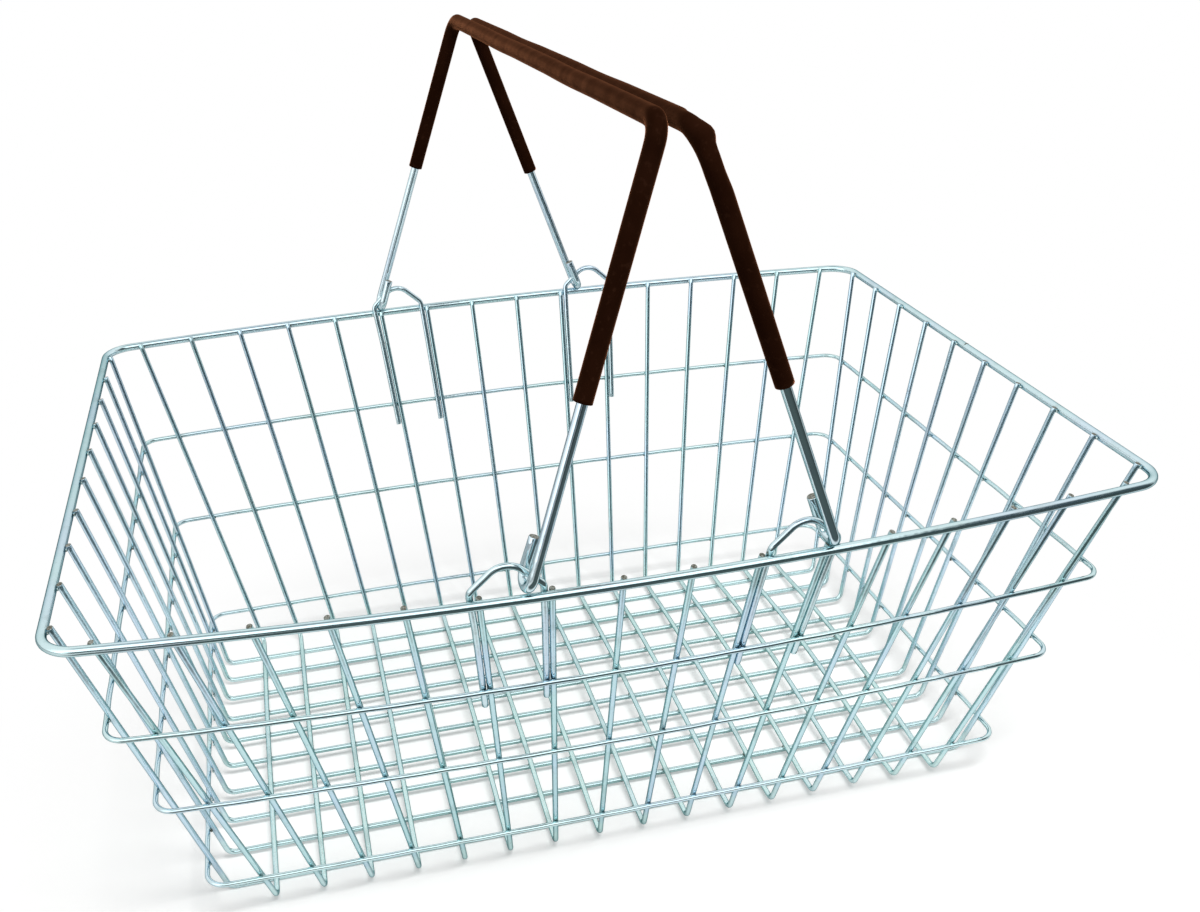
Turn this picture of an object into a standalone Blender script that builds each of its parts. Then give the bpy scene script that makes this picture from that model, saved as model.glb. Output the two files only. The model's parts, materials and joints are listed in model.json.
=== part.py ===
"""Wire shopping basket with two swinging carrying handles.

Metres, +Z up. X runs along the basket, Y across it from front to back.
The origin is on the floor, under the middle of the basket.
"""
import math

import bpy
from mathutils import Matrix, Vector

# Driving dimensions.
RIM_LENGTH = 0.460
RIM_WIDTH = 0.318
RIM_HEIGHT = 0.1838
RIM_WIRE = 0.0040
RIM_CORNER = 0.0150
SIDE_BOW = 0.0146

BASE_LENGTH = 0.3758
BASE_WIDTH = 0.2166
BASE_CROWN = 0.0050

MESH_WIRE = 0.0026
CROSS_WIRES = 16
CROSS_END_SPACE_TOP = 0.0210
CROSS_END_SPACE_BASE = 0.0217
CROSS_BEND = 0.0045
CROSS_FOOT_RISE = 0.0001
LONG_WIRES = 10
LONG_END_SPACE_TOP = 0.0173
LONG_END_SPACE_BASE = 0.0146
LONG_BEND = 0.0045
TIP_BELOW_RIM_TOP = 0.0005

RING_WIRE = 0.0023
RING_CORNER = 0.0090
RING_HEIGHTS = {"ring_upper": 0.1309, "ring_middle": 0.0820, "ring_lower": 0.0232}

HOOP_WIRE = 0.0028
HOOP_BESIDE = 0.0006
HOOP_RISE = 0.0178
HOOP_SHOULDER_RISE = 0.0060
HOOP_SHOULDER_BEND = 0.0040
HOOP_TOP_BEND = 0.0090
HOOP_LEAN = math.radians(3.0)
HOOP_FLARE = 0.0006
HOOP_LEG_END = 0.0110

HANDLE_WIRE = 0.0044
HANDLE_HEIGHTS = {"left": (0.1727, 0.1697), "right": (0.1723, 0.1667)}
HANDLE_TOP_WIDTHS = {"left": 0.3194, "right": 0.3388}
HANDLE_CORNER = 0.0080
HOOK_WIDTH = 0.0115
HOOK_BEND = 0.0052
HOOK_SHORT_LEG = 0.0180
HOOK_OFF_CENTRE = 0.0088
HOOKS_APART = 0.0032
HOOK_OUTWARD = 0.0018

GRIP_DIAMETER = 0.0076
GRIP_WALL = 0.00115
GRIP_DOWN_LEGS = {"left": (0.0986, 0.0840), "right": (0.0980, 0.0900)}

WELD_GAP = 0.0003
BEND_STEP = math.radians(24.0)
WIRE_SIDES = 8
HANDLE_SIDES = 12

# Sizes that follow from the driving dimensions.
RIM_HALF_LENGTH = (RIM_LENGTH - RIM_WIRE) / 2
RIM_HALF_WIDTH = (RIM_WIDTH - RIM_WIRE) / 2
TIP_HEIGHT = RIM_HEIGHT + RIM_WIRE / 2 - TIP_BELOW_RIM_TOP
CROSS_PITCH_TOP = (RIM_LENGTH - 2 * CROSS_END_SPACE_TOP) / (CROSS_WIRES - 1)
CROSS_PITCH_BASE = (BASE_LENGTH - 2 * CROSS_END_SPACE_BASE) / (CROSS_WIRES - 1)
LONG_PITCH_TOP = (RIM_WIDTH - 2 * LONG_END_SPACE_TOP) / (LONG_WIRES - 1)
LONG_PITCH_BASE = (BASE_WIDTH - 2 * LONG_END_SPACE_BASE) / (LONG_WIRES - 1)
FLAT_TO_CENTRE = MESH_WIRE / 2 * math.cos(math.pi / WIRE_SIDES)
OUTER_LONG_Y = LONG_PITCH_BASE * (LONG_WIRES - 1) / 2
HINGE_HEIGHT = RIM_HEIGHT + (RIM_WIRE + HANDLE_WIRE) / 2 + WELD_GAP


def clear_scene():
    """Remove every object that the file opened with."""
    for item in list(bpy.data.objects):
        bpy.data.objects.remove(item, do_unlink=True)


def finish(name, colour, metallic, roughness):
    """A plain Principled material."""
    material = bpy.data.materials.new(name)
    material.use_nodes = True
    shader = material.node_tree.nodes["Principled BSDF"]
    shader.inputs["Base Color"].default_value = (*colour, 1.0)
    shader.inputs["Metallic"].default_value = metallic
    shader.inputs["Roughness"].default_value = roughness
    return material


def bend_route(corners, radii, closed=False):
    """Round each corner of a wire's route with an arc of its own bend radius."""
    route = []
    last = len(corners) - 1
    for index, corner in enumerate(corners):
        radius = radii[index]
        at_end = not closed and index in (0, last)
        if at_end or radius == 0:
            route.append(corner.copy())
            continue
        back = (corners[index - 1] - corner).normalized()
        ahead = (corners[(index + 1) % len(corners)] - corner).normalized()
        turn = math.pi - back.angle(ahead)
        start = corner + back * radius * math.tan(turn / 2)
        centre = corner + (back + ahead).normalized() * radius / math.cos(turn / 2)
        axis = back.cross(ahead)
        steps = max(2, math.ceil(turn / BEND_STEP))
        for step in range(steps + 1):
            swing = Matrix.Rotation(-turn * step / steps, 3, axis)
            route.append(centre + swing @ (start - centre))
    return route


def wire(name, route, diameter, material, closed=False, sides=WIRE_SIDES, roll=0.0, upright=False):
    """A round wire along a route, cut square at its ends unless the route is closed."""
    curve = bpy.data.curves.new(name, "CURVE")
    curve.dimensions = "3D"
    curve.fill_mode = "FULL"
    curve.bevel_depth = diameter / 2
    curve.bevel_resolution = sides // 2 - 2
    curve.use_fill_caps = not closed
    curve.twist_mode = "Z_UP" if upright else "MINIMUM"
    spline = curve.splines.new("POLY")
    spline.points.add(len(route) - 1)
    for point, place in zip(spline.points, route):
        point.co = (*place, 1.0)
        point.tilt = roll
    spline.use_cyclic_u = closed
    spline.use_smooth = True
    curve.materials.append(material)
    item = bpy.data.objects.new(name, curve)
    bpy.context.scene.collection.objects.link(item)
    return item


def spread(count):
    """Positions of a row of wires, in pitches from its middle."""
    return [index - (count - 1) / 2 for index in range(count)]


def sagitta(share):
    """Height of a shallow arch at a share of its half span, where its middle is 1."""
    return 1 - share * share


def rim_half_width(x):
    """Distance from the middle to the rim's long side, which swells out."""
    return RIM_HALF_WIDTH + SIDE_BOW * sagitta(x / RIM_HALF_LENGTH)


def base_height(y):
    """Centre height of a long wire's floor run; the floor is arched across."""
    return FLAT_TO_CENTRE + BASE_CROWN * sagitta(y / OUTER_LONG_Y)


def cross_base_height(y):
    """Centre height of a cross wire's floor run, which lies on the long wires."""
    return base_height(y) + MESH_WIRE + WELD_GAP


def touching(first, second, slope):
    """Level distance that sets two wires a weld gap apart on a wall of this slope."""
    return ((first + second) / 2 + WELD_GAP) * math.hypot(1, slope)


def side_slope(x_top):
    """How far a cross wire leans out for each metre that it rises."""
    foot_y, foot_z = side_foot()
    return (rim_half_width(x_top) - foot_y) / (RIM_HEIGHT - foot_z)


def end_slope():
    """How far a long wire leans out for each metre that it rises."""
    return (RIM_HALF_LENGTH - BASE_LENGTH / 2) / (RIM_HEIGHT - FLAT_TO_CENTRE)


def side_foot():
    """The corner where every cross wire turns up, in y and z, a little above the outer long wire."""
    return BASE_WIDTH / 2, cross_base_height(OUTER_LONG_Y) + CROSS_FOOT_RISE


def side_line(x_top, height):
    """Distance from the middle to a cross wire's leg at a height above the floor."""
    foot_y, foot_z = side_foot()
    top_y = rim_half_width(x_top) - touching(RIM_WIRE, MESH_WIRE, side_slope(x_top))
    return foot_y + (top_y - foot_y) * (height - foot_z) / (RIM_HEIGHT - foot_z)


def end_line(height, foot_z=FLAT_TO_CENTRE):
    """Distance from the middle to a long wire's leg at a height above the floor."""
    top_x = RIM_HALF_LENGTH - touching(RIM_WIRE, MESH_WIRE, end_slope())
    return BASE_LENGTH / 2 + (top_x - BASE_LENGTH / 2) * (height - foot_z) / (RIM_HEIGHT - foot_z)


def cross_x(step, height):
    """Where a cross wire's leg is along the basket, as the row fans out upwards."""
    share = (height - side_foot()[1]) / (RIM_HEIGHT - side_foot()[1])
    return step * (CROSS_PITCH_BASE + (CROSS_PITCH_TOP - CROSS_PITCH_BASE) * share)


def cross_wire(number, step, material):
    """One U of wire across the basket: up the front, over the floor, up the back."""
    x_top = cross_x(step, RIM_HEIGHT)
    foot_y, foot_z = side_foot()
    x_base = cross_x(step, foot_z)
    tip = Vector((cross_x(step, TIP_HEIGHT), side_line(x_top, TIP_HEIGHT), TIP_HEIGHT))
    corner = Vector((x_base, foot_y, foot_z))
    floor_ys = [OUTER_LONG_Y * share for share in (-1.0, -0.5, 0.0, 0.5, 1.0)]
    floor = [Vector((x_base, y, cross_base_height(y))) for y in floor_ys]
    to_front = Vector((1, -1, 1))
    corners = [tip * to_front, corner * to_front, *floor, corner, tip]
    radii = [0, CROSS_BEND, *[0] * len(floor), CROSS_BEND, 0]
    return wire(f"cross_wire_{number:02d}", bend_route(corners, radii), MESH_WIRE, material)


def long_wire(number, step, material):
    """One U of wire along the basket: up the left end, along the floor, up the right end."""
    y_base = step * LONG_PITCH_BASE
    foot_z = base_height(y_base)
    share = (TIP_HEIGHT - foot_z) / (RIM_HEIGHT - foot_z)
    y_tip = y_base + (step * LONG_PITCH_TOP - y_base) * share
    tip = Vector((end_line(TIP_HEIGHT, foot_z), y_tip, TIP_HEIGHT))
    corner = Vector((BASE_LENGTH / 2, y_base, foot_z))
    to_left = Vector((-1, 1, 1))
    corners = [tip * to_left, corner * to_left, corner, tip]
    route = bend_route(corners, [0, LONG_BEND, LONG_BEND, 0])
    flat_down = math.pi / WIRE_SIDES
    return wire(f"long_wire_{number:02d}", route, MESH_WIRE, material, roll=flat_down, upright=True)


def ring_route(half_length, half_width, height, corner_radius):
    """A level closed ring: bowed long sides, straight ends and rounded corners."""
    shares = [index / 4 for index in range(-3, 4)]
    front = []
    radii = []
    for share in [-1, *shares, 1]:
        front.append(Vector((share * half_length, -half_width(share * half_length), height)))
        radii.append(corner_radius if abs(share) == 1 else 0)
    back = [Vector((-place.x, -place.y, height)) for place in front]
    return bend_route(front + back, radii + radii, closed=True)


def rim(material):
    """The thick wire that closes the mouth of the basket."""
    route = ring_route(RIM_HALF_LENGTH, rim_half_width, RIM_HEIGHT, RIM_CORNER)
    return wire("rim", route, RIM_WIRE, material, closed=True)


def side_ring(name, height, material):
    """A thin wire that girdles the walls from the outside."""
    def half_width(x):
        x_top = x * cross_x(1, RIM_HEIGHT) / cross_x(1, height)
        x_top = max(-RIM_HALF_LENGTH, min(RIM_HALF_LENGTH, x_top))
        return side_line(x_top, height) + touching(MESH_WIRE, RING_WIRE, side_slope(x_top))
    half_length = end_line(height) + touching(MESH_WIRE, RING_WIRE, end_slope())
    route = ring_route(half_length, half_width, height, RING_CORNER)
    return wire(name, route, RING_WIRE, material, closed=True)


def hoop_beside():
    """Distance between a hoop's leg and the upright that it stands beside."""
    return (HOOP_WIRE + MESH_WIRE) / 2 + HOOP_BESIDE


def hoop_line(x_top, height):
    """Distance from the middle to a hoop's leg, which is a thicker wire than its neighbour's."""
    inset = (HOOP_WIRE - MESH_WIRE) / 2 * math.hypot(1, side_slope(x_top))
    return side_line(x_top, height) - inset


def hoop_feet():
    """Where a handle hoop's two legs pass the rim, along the basket from its middle."""
    inner = cross_x(1.5, RIM_HEIGHT) + hoop_beside()
    outer = cross_x(2.5, RIM_HEIGHT) + hoop_beside() + HOOP_FLARE
    return inner, outer


def hoop(name, side, face, material):
    """A wire bracket: two legs welded inside the wall, joined by a peak over the rim."""
    leg_end = RING_HEIGHTS["ring_upper"] - HOOP_LEG_END
    shoulder = RIM_HEIGHT + HOOP_SHOULDER_RISE
    ends = []
    shoulders = []
    for step, x_rim in zip((1.5, 2.5), hoop_feet()):
        x_end = cross_x(step, leg_end) + hoop_beside()
        y_end = hoop_line(cross_x(step, RIM_HEIGHT), leg_end)
        y_rim = hoop_line(x_rim, RIM_HEIGHT)
        end = Vector((x_end, y_end, leg_end))
        at_rim = Vector((x_rim, y_rim, RIM_HEIGHT))
        ends.append(end)
        shoulders.append(end.lerp(at_rim, (shoulder - leg_end) / (RIM_HEIGHT - leg_end)))
    peak = (shoulders[0] + shoulders[1]) / 2
    peak_rise = HOOP_RISE - HOOP_SHOULDER_RISE
    peak += Vector((0, peak_rise * math.tan(HOOP_LEAN), peak_rise))
    corners = [ends[0], shoulders[0], peak, shoulders[1], ends[1]]
    corners = [corner * Vector((side, face, 1)) for corner in corners]
    radii = [0, HOOP_SHOULDER_BEND, HOOP_TOP_BEND, HOOP_SHOULDER_BEND, 0]
    return wire(name, bend_route(corners, radii), HOOP_WIRE, material)


def hinge_layout():
    """Both hinge axes: their distance from the middle, half length and turn about Z."""
    across = (sum(hoop_feet()) + HOOKS_APART) / 2
    along = side_line(across, RIM_HEIGHT) + HOOK_OUTWARD
    skew = math.atan2(HOOK_OFF_CENTRE, along)
    return across, math.hypot(along, HOOK_OFF_CENTRE), skew


def resting_lean():
    """Lean of both handles where the front ends of the two grips rest on each other."""
    across, _, skew = hinge_layout()
    reach = 2 * across * math.cos(skew) - GRIP_DIAMETER - WELD_GAP
    return math.asin(reach / (HANDLE_HEIGHTS["left"][0] + HANDLE_HEIGHTS["right"][0]))


def handle_corners(side, half_axis):
    """Corners of a handle's route in its own plane: Y along the hinge axis, Z away from it."""
    corners = []
    for face, height in zip((-1, 1), HANDLE_HEIGHTS[side]):
        short_y = half_axis - HOOK_WIDTH / 2
        long_y = half_axis + HOOK_WIDTH / 2
        half_top = HANDLE_TOP_WIDTHS[side] / 2
        leg = [(short_y, HOOK_SHORT_LEG), (short_y, 0), (long_y, 0), (half_top, height)]
        corners.append([Vector((0, face * y, z)) for y, z in leg])
    front, back = corners
    return front + back[::-1]


def grip(name, leg_route, down_legs, material):
    """A plastic tube pushed over the top bar and the upper part of both legs."""
    front_foot, front_top, back_top, back_foot = leg_route
    start = front_top + (front_foot - front_top).normalized() * down_legs[0]
    end = back_top + (back_foot - back_top).normalized() * down_legs[1]
    route = bend_route([start, front_top, back_top, end], [0, HANDLE_CORNER, HANDLE_CORNER, 0])
    guide = wire(name + "_skin", route, GRIP_DIAMETER, material, sides=HANDLE_SIDES)
    guide.data.use_fill_caps = False
    bpy.context.view_layer.update()
    skin = bpy.data.meshes.new_from_object(guide.evaluated_get(bpy.context.evaluated_depsgraph_get()))
    bpy.data.objects.remove(guide, do_unlink=True)
    item = bpy.data.objects.new(name, skin)
    bpy.context.scene.collection.objects.link(item)
    wall = item.modifiers.new("wall", "SOLIDIFY")
    wall.thickness = GRIP_WALL
    wall.offset = -1
    wall.use_even_offset = True
    return item


def swing_handle(side, direction, zinc, plastic):
    """A handle hung in its two hoops, with its grip, on an empty whose Y is the hinge axis."""
    across, half_axis, skew = hinge_layout()
    axis = bpy.data.objects.new(f"hinge_{side}", None)
    bpy.context.scene.collection.objects.link(axis)
    axis.location = (direction * across, 0, HINGE_HEIGHT)
    axis.rotation_euler = (0, -direction * resting_lean(), skew)
    corners = handle_corners(side, half_axis)
    radii = [0, HOOK_BEND, HOOK_BEND, HANDLE_CORNER, HANDLE_CORNER, HOOK_BEND, HOOK_BEND, 0]
    bar = wire(f"handle_{side}", bend_route(corners, radii), HANDLE_WIRE, zinc, sides=HANDLE_SIDES)
    cover = grip(f"grip_{side}", corners[2:6], GRIP_DOWN_LEGS[side], plastic)
    bar.parent = axis
    cover.parent = axis


def build():
    """Make the whole basket."""
    clear_scene()
    zinc = finish("bright zinc plate", (0.62, 0.72, 0.75), 1.0, 0.28)
    plastic = finish("brown plastic", (0.034, 0.012, 0.006), 0.0, 0.38)
    rim(zinc)
    for name, height in RING_HEIGHTS.items():
        side_ring(name, height, zinc)
    for number, step in enumerate(spread(CROSS_WIRES), 1):
        cross_wire(number, step, zinc)
    for number, step in enumerate(spread(LONG_WIRES), 1):
        long_wire(number, step, zinc)
    for side, direction in (("left", -1), ("right", 1)):
        for end, face in (("front", -1), ("back", 1)):
            hoop(f"hoop_{end}_{side}", direction, face, zinc)
    for side, direction in (("left", -1), ("right", 1)):
        swing_handle(side, direction, zinc, plastic)


build()
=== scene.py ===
"""Looks of the wire shopping basket: smooth zinc-plated wires, welds, and handles with brown grips.

Metres, +Z up. X runs along the basket, Y across it from front to back.
"""
import json
import math

import bmesh
import bpy
from mathutils import Matrix, Vector
from mathutils.kdtree import KDTree

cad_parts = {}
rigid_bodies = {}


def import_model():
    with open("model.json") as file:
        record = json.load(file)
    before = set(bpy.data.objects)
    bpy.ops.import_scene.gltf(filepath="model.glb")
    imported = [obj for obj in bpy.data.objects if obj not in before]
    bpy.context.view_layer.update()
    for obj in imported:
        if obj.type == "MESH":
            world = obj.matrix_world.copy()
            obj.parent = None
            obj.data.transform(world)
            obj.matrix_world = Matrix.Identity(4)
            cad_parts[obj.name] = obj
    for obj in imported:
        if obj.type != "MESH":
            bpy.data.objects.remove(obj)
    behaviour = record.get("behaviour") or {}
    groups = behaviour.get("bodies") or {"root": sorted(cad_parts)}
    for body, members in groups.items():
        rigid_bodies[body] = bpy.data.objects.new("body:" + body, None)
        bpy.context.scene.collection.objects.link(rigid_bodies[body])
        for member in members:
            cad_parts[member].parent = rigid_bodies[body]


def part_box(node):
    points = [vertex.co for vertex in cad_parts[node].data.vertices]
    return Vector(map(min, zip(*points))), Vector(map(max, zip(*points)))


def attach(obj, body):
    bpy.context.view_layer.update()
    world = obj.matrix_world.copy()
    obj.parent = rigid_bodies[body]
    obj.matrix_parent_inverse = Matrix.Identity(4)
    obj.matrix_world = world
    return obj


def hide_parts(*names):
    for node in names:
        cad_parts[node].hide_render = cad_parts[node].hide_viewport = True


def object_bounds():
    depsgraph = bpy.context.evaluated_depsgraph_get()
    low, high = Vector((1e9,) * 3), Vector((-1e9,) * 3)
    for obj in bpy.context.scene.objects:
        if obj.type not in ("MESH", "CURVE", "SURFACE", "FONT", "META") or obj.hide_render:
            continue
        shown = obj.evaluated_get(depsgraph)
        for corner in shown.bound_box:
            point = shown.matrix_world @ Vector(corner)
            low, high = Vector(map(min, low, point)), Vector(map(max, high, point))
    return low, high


for leftover in list(bpy.data.objects):
    bpy.data.objects.remove(leftover, do_unlink=True)
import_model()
cad_box = [list(corner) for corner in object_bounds()]


# Rim: one thick mild steel wire, bent round four corners, butt welded into a ring and zinc plated.
# Its long sides swell outwards, and every upright of the walls is spot welded to its inside.
RIM_WIRE = 0.0040
RIM_CORNER = 0.0150
SIDE_BOW = 0.0146
RIM_SIDES = 16
STROKE = 0.003
TURN_STEP = math.radians(7.5)
UP = Vector((0, 0, 1))
rim_low, rim_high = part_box("rim")
RIM_HEIGHT = (rim_low.z + rim_high.z) / 2
RIM_HALF_LENGTH = rim_high.x - RIM_WIRE / 2
RIM_MIDDLE_HALF_WIDTH = rim_high.y - RIM_WIRE / 2
RIM_HALF_WIDTH = RIM_MIDDLE_HALF_WIDTH - SIDE_BOW


class WireBender:
    """Makes a wire as a forming machine does: a round section is fed forward and bent."""

    def __init__(self, diameter, start, heading, sides, stroke=STROKE):
        self.mesh = bmesh.new()
        self.place = Vector(start)
        self.heading = Vector(heading).normalized()
        self.stroke = stroke
        turned = self.heading.to_track_quat("Z", "Y").to_matrix().to_4x4()
        placed = Matrix.Translation(self.place) @ turned
        bmesh.ops.create_circle(self.mesh, radius=diameter / 2, segments=sides, matrix=placed)
        self.rear = self.mesh.edges[:]
        self.front = self.rear

    def feed(self, length):
        """Pushes the wire straight on."""
        strokes = max(1, round(length / self.stroke))
        for _ in range(strokes):
            grown = bmesh.ops.extrude_edge_only(self.mesh, edges=self.front)["geom"]
            moved = [item for item in grown if isinstance(item, bmesh.types.BMVert)]
            bmesh.ops.translate(self.mesh, verts=moved, vec=self.heading * length / strokes)
            self.front = [e for e in grown if isinstance(e, bmesh.types.BMEdge) and e.is_boundary]
        self.place += self.heading * length

    def bend(self, radius, axis, angle):
        """Bends the wire to a radius, to the left when seen from the tip of the axis."""
        centre = self.place + axis.cross(self.heading) * radius
        steps = max(1, math.ceil(angle / TURN_STEP), round(angle * radius / self.stroke / 2))
        section = list(dict.fromkeys(vertex for edge in self.front for vertex in edge.verts))
        spun = bmesh.ops.spin(
            self.mesh, geom=section + self.front, cent=centre, axis=axis, angle=angle, steps=steps
        )
        self.front = [item for item in spun["geom_last"] if isinstance(item, bmesh.types.BMEdge)]
        turn = Matrix.Rotation(angle, 3, axis)
        self.place = centre + turn @ (self.place - centre)
        self.heading = turn @ self.heading

    def follow(self, corners, radii):
        """Runs on through the corners, each bent to its radius, and ends at the last one."""
        for index, radius in enumerate(radii):
            ahead = (corners[index + 1] - corners[index]).normalized()
            turn = self.heading.angle(ahead)
            setback = radius * math.tan(turn / 2)
            self.feed((corners[index] - self.place).length - setback)
            self.bend(radius, self.heading.cross(ahead).normalized(), turn)
        self.feed((corners[-1] - self.place).length)

    def join(self):
        """Closes a ring, whose last section has come round to its first."""
        bmesh.ops.remove_doubles(self.mesh, verts=self.mesh.verts[:], dist=STROKE / 100)

    def cut(self, chamfer):
        """Closes both ends as shears leave them: flat and bare, with a slight burr-free edge."""
        for loop in (self.rear, self.front):
            face = bmesh.ops.contextual_create(self.mesh, geom=loop)["faces"][0]
            face.material_index = 1
            bmesh.ops.bevel(
                self.mesh, geom=face.edges[:], offset=chamfer, segments=2, profile=0.5,
                affect="EDGES", material=-1,
            )


def girdle(diameter, sides, half_length, half_width, middle_half_width, height, corner):
    """A level closed ring: two long sides that swell outwards, two straight ends, four corners."""
    bow = middle_half_width - half_width
    side_radius = (half_length ** 2 + bow ** 2) / (2 * bow)
    sweep = math.asin((half_length - corner) / (side_radius - corner))
    half_straight = middle_half_width - side_radius + (side_radius - corner) * math.cos(sweep)
    bender = WireBender(diameter, (0, -middle_half_width, height), (1, 0, 0), sides)
    for _ in range(2):
        bender.bend(side_radius, UP, sweep)
        bender.bend(corner, UP, math.pi / 2 - sweep)
        bender.feed(2 * half_straight)
        bender.bend(corner, UP, math.pi / 2 - sweep)
        bender.bend(side_radius, UP, sweep)
    bender.join()
    return bender.mesh


class Value:
    """One output of a shader node, which adds Math nodes when it is reckoned with."""

    def __init__(self, finish, socket):
        self.finish = finish
        self.socket = socket

    def maths(self, operation, first, second):
        """Adds one Math node."""
        return self.finish.node("Math", {"operation": operation}, {0: first, 1: second})

    def __add__(self, other):
        return self.maths("ADD", self, other)

    def __sub__(self, other):
        return self.maths("SUBTRACT", self, other)

    def __rsub__(self, other):
        return self.maths("SUBTRACT", other, self)

    def __mul__(self, other):
        return self.maths("MULTIPLY", self, other)

    __radd__ = __add__
    __rmul__ = __mul__


class Finish:
    """A surface finish: a node tree, and one way to add nodes to it."""

    def __init__(self, owner):
        owner.use_nodes = True
        self.tree = owner.node_tree
        self.place = None

    def node(self, kind, settings=None, inputs=None, output=0):
        """Adds a node, with its settings first and then the values or links of its sockets."""
        made = self.tree.nodes.new("ShaderNode" + kind)
        for name, setting in (settings or {}).items():
            setattr(made, name, setting)
        self.fill(made, inputs or {})
        return Value(self, made.outputs[output])

    def fill(self, made, inputs):
        """Sets or links a node's sockets."""
        for name, value in inputs.items():
            if isinstance(value, Value):
                self.tree.links.new(value.socket, made.inputs[name])
            else:
                made.inputs[name].default_value = value

    def noise(self, scale, detail=2.0):
        """Cloudy noise from about 0.3 to 0.7, with its size in patches per metre."""
        if self.place is None:
            self.place = self.node("TexCoord", output="Object")
        return self.node("TexNoise", {}, {"Vector": self.place, "Scale": scale, "Detail": detail})

    def along(self, vector, axis):
        """One of a vector's three numbers."""
        return self.node("SeparateXYZ", {}, {"Vector": vector}, output=axis)

    def between(self, value, low, high):
        """0 below low, 1 above high, smooth between them."""
        settings = {"interpolation_type": "SMOOTHSTEP"}
        return self.node("MapRange", settings, {"Value": value, "From Min": low, "From Max": high})

    def blend(self, factor, first, second):
        """One colour over another."""
        sockets = {"Factor": factor, 6: first, 7: second}
        return self.node("Mix", {"data_type": "RGBA"}, sockets, output=2)

    def relief(self, strength, distance, height):
        """A bumped surface: how strongly, how deep in metres, and the pattern of its heights."""
        sockets = {"Strength": strength, "Distance": distance, "Height": height}
        return self.node("Bump", {}, sockets, output="Normal")

    def shade(self, inputs):
        """Fills the sockets of the material's own shader."""
        self.fill(self.tree.nodes["Principled BSDF"], inputs)


EDGE_TINT = (0.15, 0.28, 0.30, 1)
# Plate colour painted on the floor wires as a paler, greener painted sheen.
FLOOR_SHEEN_PLATE = (0.72, 0.92, 0.87, 1)
PLATE_SPECK = (0.20, 0.19, 0.16, 1)
WELD_STAIN = (0.17, 0.15, 0.11, 1)
# Heights under which the plate is rougher from scuffing and carries the painted sheen.
FLOOR_SHEEN_BELOW = 0.011
FLOOR_SHEEN_ABOVE = 0.018
PLATE_CLOUDS = 22.0
PLATE_STREAKS = 70.0
PLATE_SPECKS = 700.0
PLATE_WAVES = 120.0
PLATE_GRAIN = 2600.0
PLATE_RELIEF = 0.0012


def zinc(name, bright, lilac, dull, worn, gloss, ripple):
    """Bright zinc plate: bluish, uneven in colour and gloss, brown at welds, painted paler and greener
    on the floor.
    """
    material = bpy.data.materials.new(name)
    finish = Finish(material)
    heat = finish.node("Attribute", {"attribute_name": "weld_heat"}, output="Fac")
    cloud = finish.between(finish.noise(PLATE_CLOUDS), 0.42, 0.64)
    streak = finish.between(finish.noise(PLATE_STREAKS, 4.0), 0.52, 0.70)
    speck = finish.between(finish.noise(PLATE_SPECKS), 0.62, 0.74)
    # Near the floor the plate is rougher from scuffing, and painted paler and greener as a painted
    # sheen.
    floor_scuff_and_sheen = 1.0 - finish.between(finish.along(finish.place, "Z"), FLOOR_SHEEN_BELOW, FLOOR_SHEEN_ABOVE)
    plate = finish.blend(cloud, (*bright, 1), (*lilac, 1))
    plate = finish.blend(floor_scuff_and_sheen * 0.6, plate, FLOOR_SHEEN_PLATE)
    plate = finish.blend(streak * worn, plate, (*dull, 1))
    plate = finish.blend(speck * 0.15, plate, PLATE_SPECK)
    plate = finish.blend(heat * 0.45, plate, WELD_STAIN)
    unevenness = finish.noise(PLATE_WAVES) + finish.noise(PLATE_GRAIN) * 0.02
    finish.shade({
        "Base Color": plate,
        "Metallic": 1.0,
        "Roughness": floor_scuff_and_sheen * 0.06 + streak * 0.10 + heat * 0.2 + speck * 0.06 + gloss,
        "Specular Tint": EDGE_TINT,
        "Normal": finish.relief(ripple, PLATE_RELIEF, unevenness),
    })
    return material


def make_piece(name, mesh, body, finishes, replaced=()):
    """Makes the mesh a smooth object, gives it its finishes and hands it to the frame."""
    bmesh.ops.recalc_face_normals(mesh, faces=mesh.faces[:])
    for face in mesh.faces:
        face.smooth = True
    data = bpy.data.meshes.new(name)
    mesh.to_mesh(data)
    mesh.free()
    for finish in finishes:
        data.materials.append(finish)
    piece = bpy.data.objects.new(name, data)
    bpy.context.scene.collection.objects.link(piece)
    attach(piece, body)
    if replaced:
        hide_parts(*replaced)
    return piece


rim_zinc = zinc(
    "rim_zinc", bright=(0.66, 0.84, 0.86), lilac=(0.67, 0.81, 0.89), dull=(0.46, 0.55, 0.54),
    worn=0.30, gloss=0.13, ripple=0.12,
)
rim_mesh = girdle(
    RIM_WIRE, RIM_SIDES, RIM_HALF_LENGTH, RIM_HALF_WIDTH, RIM_MIDDLE_HALF_WIDTH, RIM_HEIGHT, RIM_CORNER
)
rim_wire = make_piece("rim_wire", rim_mesh, "basket", [rim_zinc], ["rim"])


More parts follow.
